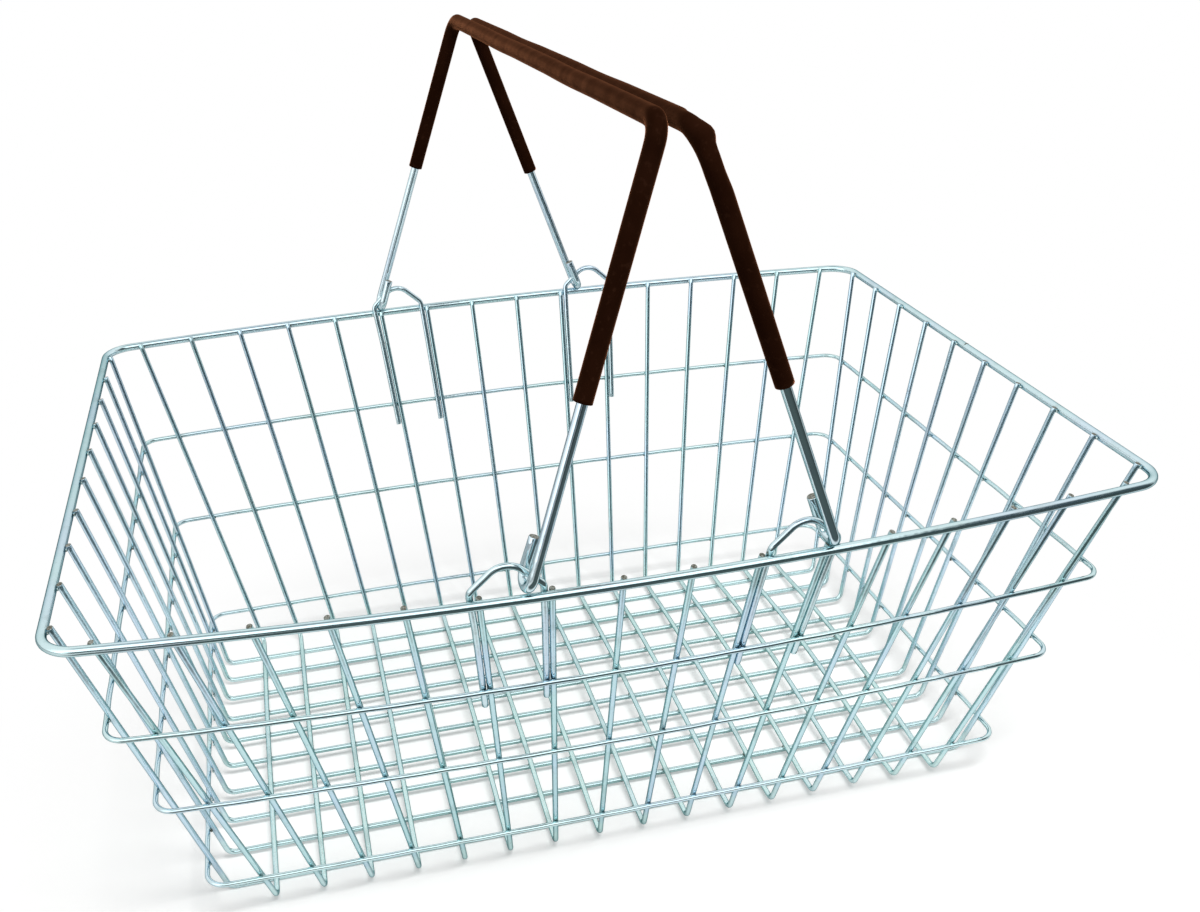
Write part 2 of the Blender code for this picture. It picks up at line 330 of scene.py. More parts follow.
# Cross wires: sixteen U wires, each up the front, over the floor and up the back, fanning out upwards.
# Their ends are sheared off level with the rim's top, and they lie on the long wires, spot welded.
MESH_WIRE = 0.0026
MESH_SIDES = 12
WELD_SINK = 0.0001
TIP_BELOW_RIM_TOP = 0.0005
TIP_CHAMFER = 0.00025
BASE_LENGTH = 0.3758
BASE_WIDTH = 0.2166
BASE_CROWN = 0.0050
CROWN_MEETING_RISE = 0.0097
CROWN_RADIUS = 0.878
CROSS_WIRES = 16
CROSS_END_SPACE_TOP = 0.0210
CROSS_END_SPACE_BASE = 0.0217
CROSS_BEND = 0.0045
CROSS_KNEE = 0.040
CROSS_FOOT_RISE = 0.0001
LONG_WIRES = 10
LONG_END_SPACE_BASE = 0.0146
CROSS_PITCH_TOP = 2 * (RIM_HALF_LENGTH + RIM_WIRE / 2 - CROSS_END_SPACE_TOP) / (CROSS_WIRES - 1)
CROSS_PITCH_BASE = (BASE_LENGTH - 2 * CROSS_END_SPACE_BASE) / (CROSS_WIRES - 1)
LONG_PITCH_BASE = (BASE_WIDTH - 2 * LONG_END_SPACE_BASE) / (LONG_WIRES - 1)
TIP_HEIGHT = RIM_HEIGHT + RIM_WIRE / 2 - TIP_BELOW_RIM_TOP
FLOOR_CENTRE = MESH_WIRE / 2
OUTER_LONG_Y = LONG_PITCH_BASE * (LONG_WIRES - 1) / 2
SIDE_FOOT_Y = BASE_WIDTH / 2
STEEL_GREY = (0.38, 0.39, 0.35, 1)
STEEL_BROWNED = (0.13, 0.13, 0.10, 1)
STEEL_PATCHES = 1400.0
STEEL_GRAIN = 4200.0
STEEL_RELIEF = 0.0002


def spread(count):
    """Positions of a row of wires, in pitches from its middle."""
    return [index - (count - 1) / 2 for index in range(count)]


def base_height(y):
    """Centre height of a long wire's floor run; the floor is arched across."""
    return FLOOR_CENTRE + BASE_CROWN * (1 - (y / OUTER_LONG_Y) ** 2)


def cross_base_height(y):
    """Centre height of a cross wire's floor run, which is welded on top of the long wires."""
    return base_height(y) + MESH_WIRE - WELD_SINK


SIDE_FOOT_HEIGHT = cross_base_height(OUTER_LONG_Y) + CROSS_FOOT_RISE


def touching(first, second, slope):
    """Level distance between two welded wires on a wall of this slope."""
    return ((first + second) / 2 - WELD_SINK) * math.hypot(1, slope)


def side_slope(x_top):
    """How far a cross wire leans out for each metre that it rises."""
    rim_y = RIM_HALF_WIDTH + SIDE_BOW * (1 - (x_top / RIM_HALF_LENGTH) ** 2)
    return (rim_y - SIDE_FOOT_Y) / (RIM_HEIGHT - SIDE_FOOT_HEIGHT)


def side_line(x_top, height):
    """Distance from the middle to a cross wire's leg at a height above the floor."""
    slope = side_slope(x_top)
    rise = RIM_HEIGHT - SIDE_FOOT_HEIGHT
    out = slope * rise - touching(RIM_WIRE, MESH_WIRE, slope)
    return SIDE_FOOT_Y + out * (height - SIDE_FOOT_HEIGHT) / rise


def cross_x(step, height):
    """Where a cross wire's leg is along the basket, as the row fans out upwards."""
    share = (height - SIDE_FOOT_HEIGHT) / (RIM_HEIGHT - SIDE_FOOT_HEIGHT)
    return step * (CROSS_PITCH_BASE + (CROSS_PITCH_TOP - CROSS_PITCH_BASE) * share)


def cross_wire(step):
    """The mesh of one cross wire, bent from its front tip to its back tip."""
    x_base = cross_x(step, SIDE_FOOT_HEIGHT)
    knee_height = cross_base_height(OUTER_LONG_Y)
    x_top = cross_x(step, RIM_HEIGHT)
    tip = Vector((cross_x(step, TIP_HEIGHT), side_line(x_top, TIP_HEIGHT), TIP_HEIGHT))
    foot = Vector((x_base, SIDE_FOOT_Y, SIDE_FOOT_HEIGHT))
    knee = Vector((x_base, OUTER_LONG_Y, knee_height))
    crown = Vector((x_base, 0, knee_height + CROWN_MEETING_RISE))
    to_front = Vector((1, -1, 1))
    bender = WireBender(MESH_WIRE, tip * to_front, (foot - tip) * to_front, MESH_SIDES)
    corners = [foot * to_front, knee * to_front, crown, knee, foot, tip]
    bender.follow(corners, [CROSS_BEND, CROSS_KNEE, CROWN_RADIUS, CROSS_KNEE, CROSS_BEND])
    bender.cut(TIP_CHAMFER)
    return bender.mesh


def cut_steel():
    """The bare sheared end of a wire: dull grey steel, browned by the weld beside it."""
    material = bpy.data.materials.new("cut_steel")
    finish = Finish(material)
    patch = finish.between(finish.noise(STEEL_PATCHES), 0.42, 0.62)
    finish.shade({
        "Base Color": finish.blend(patch, STEEL_BROWNED, STEEL_GREY),
        "Metallic": 0.85,
        "Roughness": patch * 0.2 + 0.4,
        "Normal": finish.relief(0.5, STEEL_RELIEF, finish.noise(STEEL_GRAIN)),
    })
    return material


mesh_zinc = zinc(
    "mesh_zinc", bright=(0.58, 0.81, 0.83), lilac=(0.60, 0.77, 0.88), dull=(0.38, 0.50, 0.49),
    worn=0.40, gloss=0.13, ripple=0.14,
)
bare_end = cut_steel()
mesh_pieces = []
for number, step in enumerate(spread(CROSS_WIRES), 1):
    mesh_pieces.append(make_piece(
        f"wire_across_{number:02d}", cross_wire(step), "basket", [mesh_zinc, bare_end],
        [f"cross_wire_{number:02d}"],
    ))


# Long wires: ten U wires, each up the left end, along the floor and up the right end.
# The basket stands on the outer two, because the floor is arched a little. Their plate is bluer.
LONG_END_SPACE_TOP = 0.0173
LONG_BEND = 0.0045
LONG_PITCH_TOP = 2 * (RIM_HALF_WIDTH + RIM_WIRE / 2 - LONG_END_SPACE_TOP) / (LONG_WIRES - 1)
END_SLOPE = (RIM_HALF_LENGTH - BASE_LENGTH / 2) / (RIM_HEIGHT - FLOOR_CENTRE)


def end_line(height, foot_height=FLOOR_CENTRE):
    """Distance from the middle to a long wire's leg at a height above the floor."""
    top_x = RIM_HALF_LENGTH - touching(RIM_WIRE, MESH_WIRE, END_SLOPE)
    share = (height - foot_height) / (RIM_HEIGHT - foot_height)
    return BASE_LENGTH / 2 + (top_x - BASE_LENGTH / 2) * share


def long_y(step, height):
    """Where a long wire's leg is across the basket, as the row fans out upwards."""
    y_base = step * LONG_PITCH_BASE
    share = (height - base_height(y_base)) / (RIM_HEIGHT - base_height(y_base))
    return y_base + (step * LONG_PITCH_TOP - y_base) * share


def long_wire(step):
    """The mesh of one long wire, bent from its left tip to its right tip."""
    y_base = step * LONG_PITCH_BASE
    foot_height = base_height(y_base)
    tip = Vector((end_line(TIP_HEIGHT, foot_height), long_y(step, TIP_HEIGHT), TIP_HEIGHT))
    foot = Vector((BASE_LENGTH / 2, y_base, foot_height))
    to_left = Vector((-1, 1, 1))
    bender = WireBender(MESH_WIRE, tip * to_left, (foot - tip) * to_left, MESH_SIDES)
    bender.follow([foot * to_left, foot, tip], [LONG_BEND, LONG_BEND])
    bender.cut(TIP_CHAMFER)
    return bender.mesh


end_zinc = zinc(
    "end_zinc", bright=(0.63, 0.82, 0.90), lilac=(0.64, 0.80, 0.92), dull=(0.42, 0.54, 0.56),
    worn=0.30, gloss=0.13, ripple=0.14,
)
for number, step in enumerate(spread(LONG_WIRES), 1):
    mesh_pieces.append(make_piece(
        f"wire_along_{number:02d}", long_wire(step), "basket", [end_zinc, bare_end],
        [f"long_wire_{number:02d}"],
    ))


# Side rings: three thinner wires, bent and butt welded into rings that girdle the walls outside.
# Each is pressed on and spot welded at every upright that it crosses.
RING_WIRE = 0.0023
RING_CORNER = 0.0090
RING_NAMES = ("upper", "middle", "lower")
RING_SLACK = 0.00025


def ring_middle_height(name):
    """The height of a side ring's middle line, from the frame."""
    low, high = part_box(f"ring_{name}")
    return (low.z + high.z) / 2


def ring_half_width(x, height):
    """Distance from the middle to a side ring's long side, at a place along the basket."""
    x_top = x * CROSS_PITCH_TOP / cross_x(1, height)
    x_top = max(-RIM_HALF_LENGTH, min(RIM_HALF_LENGTH, x_top))
    return side_line(x_top, height) + touching(MESH_WIRE, RING_WIRE, side_slope(x_top))


def ring_half_length(height):
    """Distance from the middle to a side ring's straight end."""
    return end_line(height) + touching(MESH_WIRE, RING_WIRE, END_SLOPE)


def slacken(mesh, height, half_length):
    """Lets a ring stand off the wall a little between its welds, which draw it in."""
    rows = (
        ("x", "y", cross_x(1, height), (CROSS_WIRES - 1) / 2),
        ("y", "x", long_y(0.5, height) * 2, (LONG_WIRES - 1) / 2),
    )
    for vertex in mesh.verts:
        at_end = abs(vertex.co.x) > half_length - RING_WIRE
        along, across, pitch, reach = rows[at_end]
        place = getattr(vertex.co, along) / pitch
        if abs(place) < reach:
            slack = RING_SLACK * (1 - math.cos(math.tau * (place - 0.5))) / 2
            level = getattr(vertex.co, across)
            setattr(vertex.co, across, level + math.copysign(slack, level))


ring_zinc = zinc(
    "ring_zinc", bright=(0.66, 0.84, 0.85), lilac=(0.65, 0.80, 0.87), dull=(0.38, 0.48, 0.46),
    worn=0.35, gloss=0.07, ripple=0.08,
)
RING_HEIGHTS = {name: ring_middle_height(name) for name in RING_NAMES}
for name, height in RING_HEIGHTS.items():
    half_length = ring_half_length(height)
    ring = girdle(
        RING_WIRE, MESH_SIDES, half_length, ring_half_width(half_length, height),
        ring_half_width(0, height), height, RING_CORNER,
    )
    slacken(ring, height, half_length)
    mesh_pieces.append(
        make_piece(f"girdle_{name}", ring, "basket", [ring_zinc], [f"ring_{name}"])
    )


# Handle hoops: four brackets of wire, each with two legs down the inside of the wall and a peak
# above the rim that holds a handle's hook. The legs stand beside two uprights, welded to rim and ring.
HOOP_WIRE = 0.0028
HOOP_RISE = 0.0178
HOOP_SHOULDER_RISE = 0.0045
HOOP_SHOULDER_BEND = 0.0040
HOOP_TOP_BEND = 0.0090
HOOP_LEAN = math.radians(3.0)
HOOP_FLARE = 0.0006
HOOP_LEG_END = 0.0110
HOOP_STEPS = (1.5, 2.5)
HOOP_LEG_BEND = 0.040
HOOP_LEG_BEND_DROP = 0.016
HOOP_LEG_GAP = 0.0002
HOOP_FOOT_GAP = 0.0006
HOOP_LEG_BESIDE = (HOOP_WIRE + MESH_WIRE) / 2 + HOOP_LEG_GAP
HOOP_FOOT_BESIDE = (HOOP_WIRE + MESH_WIRE) / 2 + HOOP_FOOT_GAP
HOOP_FEET = (
    cross_x(HOOP_STEPS[0], RIM_HEIGHT) + HOOP_FOOT_BESIDE,
    cross_x(HOOP_STEPS[1], RIM_HEIGHT) + HOOP_FOOT_BESIDE + HOOP_FLARE,
)
FACES = {"front": -1, "back": 1}
SIDES = {"left": -1, "right": 1}


def hoop_line(x_top, height):
    """Distance from the middle to a hoop's leg, which is a thicker wire than its neighbour's."""
    inset = (HOOP_WIRE - MESH_WIRE) / 2 * math.hypot(1, side_slope(x_top))
    return side_line(x_top, height) - inset


def hoop(side, face):
    """The mesh of one hoop, bent from the end of its inner leg to the end of its outer leg."""
    leg_end = RING_HEIGHTS["upper"] - HOOP_LEG_END
    leg_top = RIM_HEIGHT - HOOP_LEG_BEND_DROP
    shoulder = RIM_HEIGHT + HOOP_SHOULDER_RISE
    legs = []
    for step, x_rim in zip(HOOP_STEPS, HOOP_FEET):
        x_top = cross_x(step, RIM_HEIGHT)
        low, high = (
            Vector((cross_x(step, level) + HOOP_LEG_BESIDE, hoop_line(x_top, level), level))
            for level in (leg_end, leg_top)
        )
        legs.append([low, high, Vector((x_rim, hoop_line(x_rim, shoulder), shoulder))])
    inner, outer = legs
    peak_rise = HOOP_RISE - HOOP_SHOULDER_RISE
    peak = (inner[-1] + outer[-1]) / 2 + Vector((0, peak_rise * math.tan(HOOP_LEAN), peak_rise))
    there = Vector((side, face, 1))
    start, *corners = [corner * there for corner in [*inner, peak, *outer[::-1]]]
    bender = WireBender(HOOP_WIRE, start, corners[0] - start, MESH_SIDES)
    bends = [HOOP_LEG_BEND, HOOP_SHOULDER_BEND]
    bender.follow(corners, [*bends, HOOP_TOP_BEND, *bends[::-1]])
    bender.cut(TIP_CHAMFER)
    return bender.mesh


hoop_zinc = zinc(
    "hoop_zinc", bright=(0.68, 0.84, 0.87), lilac=(0.64, 0.77, 0.88), dull=(0.46, 0.54, 0.53),
    worn=0.40, gloss=0.15, ripple=0.22,
)
for side, direction in SIDES.items():
    for end, face in FACES.items():
        mesh_pieces.append(make_piece(
            f"bracket_{end}_{side}", hoop(direction, face), "basket",
            [hoop_zinc, bare_end], [f"hoop_{end}_{side}"],
        ))


# Spot welds: a bead of metal squeezed out where two wires cross, browned by the heat under the zinc.
# The wires beside each one carry the same stain, as a colour that fades within a few millimetres.
BEAD = Vector((0.0036, 0.0011, 0.0017))
RIM_BEAD = Vector((0.0040, 0.0014, 0.0020))
FLOOR_BEAD = Vector((0.0034, 0.0011, 0.0034))
RIM_BUTT = Vector((0.0028, 0.0039, 0.0047))
RIM_BUTT_Y = 0.008
BEAD_SIDES = 8
BEAD_RINGS = 6
HEAT_REACH = 0.0026
ALONG = Vector((1, 0, 0))
ACROSS = Vector((0, 1, 0))
WELD_ZINC = (0.62, 0.73, 0.71, 1)
WELD_BURNT = (0.11, 0.105, 0.08, 1)
WELD_PATCHES = 700.0
WELD_LUMPS = 1800.0
WELD_RELIEF = 0.0004
weld_places = []


def bead(mesh, place, along, outward, size):
    """One squashed bead: size is along the outer wire, through the joint, and along the inner wire."""
    along, outward = along.normalized(), outward.normalized()
    turned = Matrix((along, outward, along.cross(outward))).transposed().to_4x4()
    placed = Matrix.Translation(place) @ turned @ Matrix.Diagonal((*size, 1))
    bmesh.ops.create_uvsphere(
        mesh, u_segments=BEAD_SIDES, v_segments=BEAD_RINGS, radius=0.5, matrix=placed
    )
    weld_places.append(place)


def wall_beads(mesh, height, size):
    """Beads of one ring or of the rim, against every cross wire and every long wire."""
    for step in spread(CROSS_WIRES):
        x_top = cross_x(step, RIM_HEIGHT)
        slope = side_slope(x_top)
        for face in FACES.values():
            out = Vector((0, face, -slope)).normalized()
            centre = Vector((cross_x(step, height), face * side_line(x_top, height), height))
            bead(mesh, centre + out * MESH_WIRE / 2, ALONG, out, size)
    for step in spread(LONG_WIRES):
        foot_height = base_height(step * LONG_PITCH_BASE)
        for side in SIDES.values():
            out = Vector((side, 0, -END_SLOPE)).normalized()
            centre = Vector((side * end_line(height, foot_height), long_y(step, height), height))
            bead(mesh, centre + out * MESH_WIRE / 2, ACROSS, out, size)


def hoop_beads(mesh, side, face):
    """Beads of one hoop's two legs, against the rim and the upper ring."""
    upper = RING_HEIGHTS["upper"]
    for step, x_rim in zip(HOOP_STEPS, HOOP_FEET):
        out = Vector((0, face, -side_slope(x_rim))).normalized()
        for x, height, size in (
            (x_rim, RIM_HEIGHT, RIM_BEAD), (cross_x(step, upper) + HOOP_LEG_BESIDE, upper, BEAD)
        ):
            centre = Vector((side * x, face * side_line(x_rim, height), height))
            bead(mesh, centre + out * MESH_WIRE / 2, ALONG, out, size)


def weld_scale():
    """Weld metal: rough, brown and grey, with zinc over most of it."""
    material = bpy.data.materials.new("weld_scale")
    finish = Finish(material)
    burnt = finish.between(finish.noise(WELD_PATCHES, 3.0), 0.47, 0.62)
    finish.shade({
        "Base Color": finish.blend(burnt, WELD_ZINC, WELD_BURNT),
        "Metallic": 0.9,
        "Roughness": burnt * 0.25 + 0.18,
        "Normal": finish.relief(0.6, WELD_RELIEF, finish.noise(WELD_LUMPS)),
    })
    return material


weld_finish = weld_scale()
rim_welds = bmesh.new()
wall_beads(rim_welds, RIM_HEIGHT, RIM_BEAD)
butt = Vector((RIM_HALF_LENGTH, RIM_BUTT_Y, RIM_HEIGHT))
bead(rim_welds, butt, ACROSS, ALONG, RIM_BUTT)
make_piece("welds_rim", rim_welds, "basket", [weld_finish])
for name, height in RING_HEIGHTS.items():
    ring_welds = bmesh.new()
    wall_beads(ring_welds, height, BEAD)
    make_piece(f"welds_ring_{name}", ring_welds, "basket", [weld_finish])
floor_welds = bmesh.new()
for step in spread(CROSS_WIRES):
    for long_step in spread(LONG_WIRES):
        y = long_step * LONG_PITCH_BASE
        x = cross_x(step, SIDE_FOOT_HEIGHT)
        crossing = Vector((x, y, base_height(y) + MESH_WIRE / 2))
        bead(floor_welds, crossing, ALONG, UP, FLOOR_BEAD)
make_piece("welds_floor", floor_welds, "basket", [weld_finish])
hoop_welds = bmesh.new()
for side in SIDES.values():
    for face in FACES.values():
        hoop_beads(hoop_welds, side, face)
make_piece("welds_hoops", hoop_welds, "basket", [weld_finish])

heat_tree = KDTree(len(weld_places))
for index, place in enumerate(weld_places):
    heat_tree.insert(place, index)
heat_tree.balance()
for piece in [rim_wire, *mesh_pieces]:
    heat = piece.data.attributes.new("weld_heat", "FLOAT", "POINT")
    for vertex, value in zip(piece.data.vertices, heat.data):
        distance = heat_tree.find(vertex.co)[2]
        value.value = max(0.0, 1 - distance / HEAT_REACH)


# Handles: two thick wires, each bent into a U whose ends turn back into open hooks.
# Each hook hangs in a hoop, and at rest the two handles lean on each other by their grips.
HANDLE_WIRE = 0.00434
HANDLE_SIDES = 16
HANDLE_HEIGHTS = {"left": (0.1727, 0.1697), "right": (0.1723, 0.1667)}
HANDLE_TOP_WIDTHS = {"left": 0.3194, "right": 0.3388}
HANDLE_CORNER = 0.0080
OPENED_CORNER = 0.0140
HANDLE_CORNERS = {"left": (HANDLE_CORNER, HANDLE_CORNER), "right": (OPENED_CORNER, HANDLE_CORNER)}
HOOK_WIDTH = 0.0115
HOOK_BEND = 0.0052
HOOK_SHORT_LEG = 0.0180
HOOK_OFF_CENTRE = 0.0088
HOOKS_APART = 0.0032
HOOK_OUTWARD = 0.0014
HOOK_CLEARANCE = 0.0003
HOOK_CHAMFER = 0.0004
GRIP_DIAMETER = 0.00748
GRIP_CLEARANCE = 0.0003
HINGE_ACROSS = (sum(HOOP_FEET) + HOOKS_APART) / 2
HINGE_ALONG = side_line(HINGE_ACROSS, RIM_HEIGHT) + HOOK_OUTWARD
HALF_AXIS = math.hypot(HINGE_ALONG, HOOK_OFF_CENTRE)
AXIS_SKEW = math.atan2(HOOK_OFF_CENTRE, HINGE_ALONG)
HINGE_HEIGHT = RIM_HEIGHT + (RIM_WIRE + HANDLE_WIRE) / 2 + HOOK_CLEARANCE
LEAN_REACH = 2 * HINGE_ACROSS * math.cos(AXIS_SKEW) - GRIP_DIAMETER - GRIP_CLEARANCE
LEAN = math.asin(LEAN_REACH / (HANDLE_HEIGHTS["left"][0] + HANDLE_HEIGHTS["right"][0]))


def handle_corners(side):
    """The corners of a handle's route, from its front hook to its back hook, leaning as at rest."""
    direction = SIDES[side]
    turned = Matrix.Rotation(AXIS_SKEW, 4, "Z") @ Matrix.Rotation(-direction * LEAN, 4, "Y")
    placed = Matrix.Translation((direction * HINGE_ACROSS, 0, HINGE_HEIGHT)) @ turned
    legs = []
    for face, height in zip(FACES.values(), HANDLE_HEIGHTS[side]):
        inner, outer = HALF_AXIS - HOOK_WIDTH / 2, HALF_AXIS + HOOK_WIDTH / 2
        leg = [(inner, HOOK_SHORT_LEG), (inner, 0), (outer, 0), (HANDLE_TOP_WIDTHS[side] / 2, height)]
        legs.append([placed @ Vector((0, face * y, z)) for y, z in leg])
    front, back = legs
    return front + back[::-1]


handle_zinc = zinc(
    "handle_zinc", bright=(0.70, 0.84, 0.88), lilac=(0.66, 0.79, 0.89), dull=(0.48, 0.56, 0.57),
    worn=0.25, gloss=0.10, ripple=0.10,
)
for side in SIDES:
    corners = handle_corners(side)
    bender = WireBender(HANDLE_WIRE, corners[0], corners[1] - corners[0], HANDLE_SIDES)
    hook = [HOOK_BEND, HOOK_BEND]
    bender.follow(corners[1:], [*hook, *HANDLE_CORNERS[side], *hook])
    bender.cut(HOOK_CHAMFER)
    make_piece(
        f"bail_{side}", bender.mesh, f"{side}_handle", [handle_zinc, bare_end],
        [f"handle_{side}"],
    )


# Grips: brown vinyl tube pushed over the top bar and halfway down both legs before the last bends.
# It bunches on the inside of each corner and has buckled at the right one's front corner.
GRIP_WALL = 0.00115
GRIP_SIDES = 24
GRIP_STROKE = 0.0013
GRIP_DOWN_LEGS = {"left": (0.0986, 0.0840), "right": (0.0980, 0.0900)}
GRIP_DIPS = (0.32, 0.68)
GRIP_DIP_REACH = 0.035
GRIP_SAG = 0.0003
BUNCH_REACH = 0.009
BUNCH_PUSH = 0.0008
FOLD_OUT = Vector((0.95, -0.04, 0.32))
FOLD_FRONT = Vector((-0.19, -0.87, 0.46))
FOLDS = (
    (0.00, FOLD_OUT, 0.0080, -0.0009),
    (0.47, FOLD_OUT, 0.0056, 0.0015),
    (0.95, FOLD_OUT, 0.0110, -0.0006),
    (0.22, FOLD_FRONT, 0.0042, -0.0007),
    (0.46, FOLD_FRONT, 0.0042, 0.0008),
    (0.70, FOLD_FRONT, 0.0040, -0.0007),
)
DARK_BROWN = (0.0110, 0.0034, 0.0015, 1)
MID_BROWN = (0.0150, 0.0048, 0.0022, 1)
SCUFFED_BROWN = (0.034, 0.013, 0.007, 1)
VINYL_SHEEN = (1.0, 0.38, 0.18, 1)
VINYL_MOTTLE = 60.0
VINYL_SCUFFS = 420.0
VINYL_WAVES = 90.0
VINYL_PEBBLE = 1900.0
VINYL_RELIEF = 0.0008


def vinyl():
    """Dark brown vinyl: nearly matt, faintly mottled, with a fine pebble and long shallow waves."""
    material = bpy.data.materials.new("brown_vinyl")
    finish = Finish(material)
    mottle = finish.between(finish.noise(VINYL_MOTTLE, 3.0), 0.38, 0.66)
    scuff = finish.between(finish.noise(VINYL_SCUFFS, 4.0), 0.56, 0.70)
    brown = finish.blend(mottle, DARK_BROWN, MID_BROWN)
    brown = finish.blend(scuff * 0.30, brown, SCUFFED_BROWN)
    unevenness = finish.noise(VINYL_WAVES, 1.0) + finish.noise(VINYL_PEBBLE) * 0.06
    finish.shade({
        "Base Color": brown,
        "Roughness": mottle * 0.08 + scuff * 0.10 + 0.36,
        "Specular IOR Level": 0.0,
        "Sheen Weight": 0.62,
        "Sheen Roughness": 0.28,
        "Sheen Tint": VINYL_SHEEN,
        "Normal": finish.relief(0.5, VINYL_RELIEF, unevenness),
    })
    return material


def press(mesh, centre, reach, push):
    """Moves the tube's wall round a centre, fading to nothing at the reach."""
    for vertex in mesh.verts:
        nearness = max(0.0, 1 - (vertex.co - centre).length_squared / reach ** 2)
        vertex.co += push * nearness ** 2


def bunch(mesh, corner, down_leg, along_top, corner_radius, folds=()):
    """Gathers the tube inside a corner, and buckles its wall at the folds along the bend.

    A fold is its share of the bend, the side of the tube, its reach and how far it is pushed out.
    """
    inwards = (down_leg + along_top).normalized()
    half_turn = (math.pi - down_leg.angle(along_top)) / 2
    centre = corner + inwards * corner_radius / math.cos(half_turn)
    setback = corner_radius * math.tan(half_turn)
    from_centre = [corner + way * setback - centre for way in (along_top, down_leg)]
    radius = GRIP_DIAMETER / 2
    press(mesh, centre - inwards * (corner_radius - radius), BUNCH_REACH, inwards * BUNCH_PUSH)
    for share, outward, reach, push in folds:
        middle = centre + from_centre[0].lerp(from_centre[1], share).normalized() * corner_radius
        press(mesh, middle + outward * radius, reach, outward * push)


grip_vinyl = vinyl()
for side in SIDES:
    corners = handle_corners(side)
    front_foot, front_top, back_top, back_foot = corners[2:6]
    down_front, down_back = GRIP_DOWN_LEGS[side]
    front_leg, back_leg = (front_foot - front_top).normalized(), (back_foot - back_top).normalized()
    along_top = (back_top - front_top).normalized()
    start = front_top + front_leg * down_front
    end = back_top + back_leg * down_back
    bender = WireBender(GRIP_DIAMETER, start, -front_leg, GRIP_SIDES, GRIP_STROKE)
    bender.follow([front_top, back_top, end], HANDLE_CORNERS[side])
    tube = bender.mesh
    front_bend, back_bend = HANDLE_CORNERS[side]
    bunch(tube, front_top, front_leg, along_top, front_bend, FOLDS if side == "right" else ())
    bunch(tube, back_top, back_leg, -along_top, back_bend)
    for share in GRIP_DIPS:
        press(tube, front_top.lerp(back_top, share), GRIP_DIP_REACH, -UP * GRIP_SAG)
    bmesh.ops.recalc_face_normals(tube, faces=tube.faces[:])
    bmesh.ops.solidify(tube, geom=tube.faces[:], thickness=GRIP_WALL)
    make_piece(
        f"sleeve_{side}", tube, f"{side}_handle", [grip_vinyl], [f"grip_{side}"]
    )


# Table: a plain white sheet, big enough that its edge is never seen, which keeps the basket's shadow.
# Near the basket it is lit paper. Further off the camera sees plain white. In the wires' reflections
# only, the sheet carries painted shade, a dim floor in front of the table and a greener shade beneath
# the basket, and a faint painted glow near the basket.
TABLE_HALF = 6.0
TABLE_BELOW = 0.0002
SHADOW_FADES = (0.21, 0.36)
LIGHT_FADES_FORWARD = (0.19, 0.28)
LIGHT_FADES_RIGHTWARD = (-0.50, -0.28)
PAINTED_SHADE_FADES = (0.085, 0.125)
SHADOW_CENTRE = (0.0, -0.10, 0.0)
SHEET_WHITE = (0.80, 0.80, 0.79, 1)
SHEET_LIFT = (0.28, 0.28, 0.28, 1)
# Painted glow of the sheet near the basket, seen only in reflections.
SHEET_PAINTED_GLOW = (0.12, 0.12, 0.13, 1)
# Painted shade of the floor past the lamp's pool, seen only in reflections.
PAINTED_DIM_FLOOR = (0.07, 0.09, 0.09, 1)
# Painted shade under the basket, seen only in reflections, and the shape of its oval.
PAINTED_SHADE_COLOUR = (0.46, 0.57, 0.55, 1)
PAINTED_SHADE_SHAPE = (0.56, 1.0, 1.0)
WHITE = (1, 1, 1, 1)
BLACK = (0, 0, 0, 1)
table_mesh = bmesh.new()
bmesh.ops.create_grid(table_mesh, x_segments=1, y_segments=1, size=TABLE_HALF)
table_data = bpy.data.meshes.new("table_top")
table_mesh.to_mesh(table_data)
table_mesh.free()
table = bpy.data.objects.new("table_top", table_data)
table.location.z = cad_box[0][2] - TABLE_BELOW
bpy.context.scene.collection.objects.link(table)
paper = bpy.data.materials.new("white_sheet")
paper_finish = Finish(paper)
seen = paper_finish.node("LightPath", output="Is Camera Ray")
mirrored = paper_finish.node("LightPath", output="Is Glossy Ray")
spot = paper_finish.node("TexCoord", output="Object")
in_front = 0.0 - paper_finish.along(spot, "Y")
# Painted shade: in reflections only, the sheet turns dark in front of the basket, except far to its
# left.
painted_unlit_floor = mirrored * paper_finish.between(in_front, *LIGHT_FADES_FORWARD)
painted_unlit_floor = painted_unlit_floor * paper_finish.between(paper_finish.along(spot, "X"), *LIGHT_FADES_RIGHTWARD)
rounded = paper_finish.node("VectorMath", {"operation": "MULTIPLY"}, {0: spot, 1: PAINTED_SHADE_SHAPE})
from_middle = paper_finish.node("VectorMath", {"operation": "LENGTH"}, {0: rounded}, output="Value")
# Painted shade: in reflections only, the sheet is painted a greener grey over an oval under the
# basket.
painted_shade_below = mirrored * (1.0 - paper_finish.between(from_middle, *PAINTED_SHADE_FADES))
from_shadow = paper_finish.node(
    "VectorMath", {"operation": "DISTANCE"}, {0: spot, 1: SHADOW_CENTRE}, output="Value"
)
past_shadow = seen * paper_finish.between(from_shadow, *SHADOW_FADES)
sheet_with_painted_shade = paper_finish.blend(painted_shade_below, SHEET_WHITE, PAINTED_SHADE_COLOUR)
sheet_with_painted_shade = paper_finish.blend(painted_unlit_floor, sheet_with_painted_shade, PAINTED_DIM_FLOOR)
glow = paper_finish.blend(past_shadow, SHEET_LIFT, WHITE)
